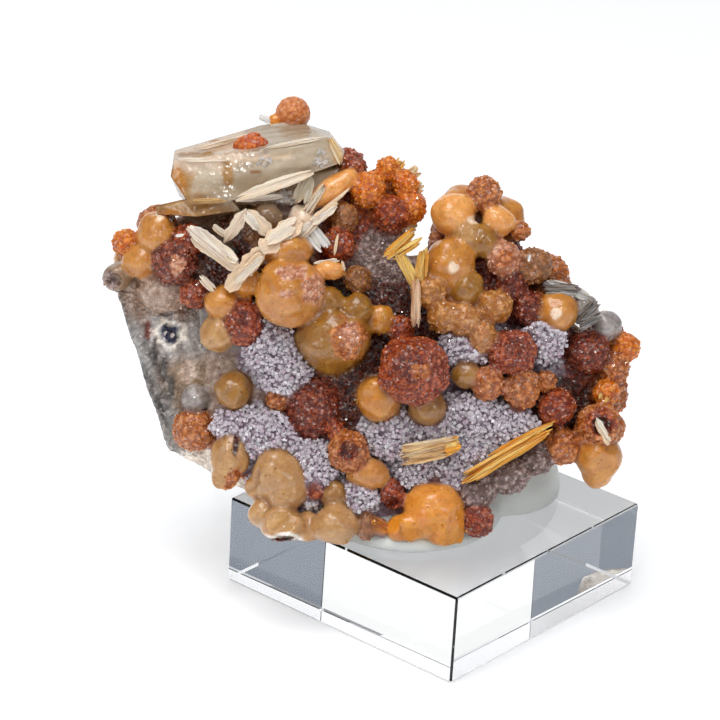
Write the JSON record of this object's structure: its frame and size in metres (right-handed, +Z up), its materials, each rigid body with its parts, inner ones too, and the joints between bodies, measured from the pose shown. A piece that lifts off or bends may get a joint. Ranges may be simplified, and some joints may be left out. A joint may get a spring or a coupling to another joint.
{
  "type": "smithsonite specimen with fluorite and celestite on a block",
  "caption": "Lumpy ochre and red-brown smithsonite with lilac fluorite druse and grey and yellow celestite blades on grey rock, stuck with putty on a clear square block.",
  "frame": {"origin": "centre of the block's underside, on the ground", "axes": "+Z up, -Y towards a viewer who faces the crusted side, +X to that viewer's right"},
  "size_m": [0.0708, 0.0534, 0.0625],
  "materials": {
    "clear_acrylic": "polished, clear",
    "white_putty": "soft satin, slightly see-through",
    "grey_rock": "matte broken stone",
    "smithsonite": "waxy to sugary mineral crust",
    "celestite": "glassy, slightly cloudy crystal",
    "fluorite": "glassy druse of small cubes"
  },
  "bodies": {
    "root": {"acrylic_block": "clear_acrylic", "putty": "white_putty", "matrix_rock": "grey_rock", "smithsonite_crust": "smithsonite", "smithsonite_ball_top": "smithsonite", "smithsonite_dome": "smithsonite", "celestite_table": "celestite", "celestite_lath_upper": "celestite", "celestite_lath_middle": "celestite", "celestite_blade_left": "celestite", "celestite_chevron": "celestite", "celestite_blade_low": "celestite", "celestite_fan": "celestite", "celestite_lath_long": "celestite", "celestite_bundle": "celestite", "celestite_needle": "celestite", "celestite_fan_right": "celestite", "celestite_clear_right": "celestite", "fluorite_druse_upper": "fluorite", "fluorite_druse_left": "fluorite", "fluorite_druse_lower": "fluorite", "fluorite_druse_foot": "fluorite", "fluorite_druse_middle": "fluorite", "fluorite_druse_side": "fluorite", "fluorite_druse_right": "fluorite"}
  },
  "joints": []
}
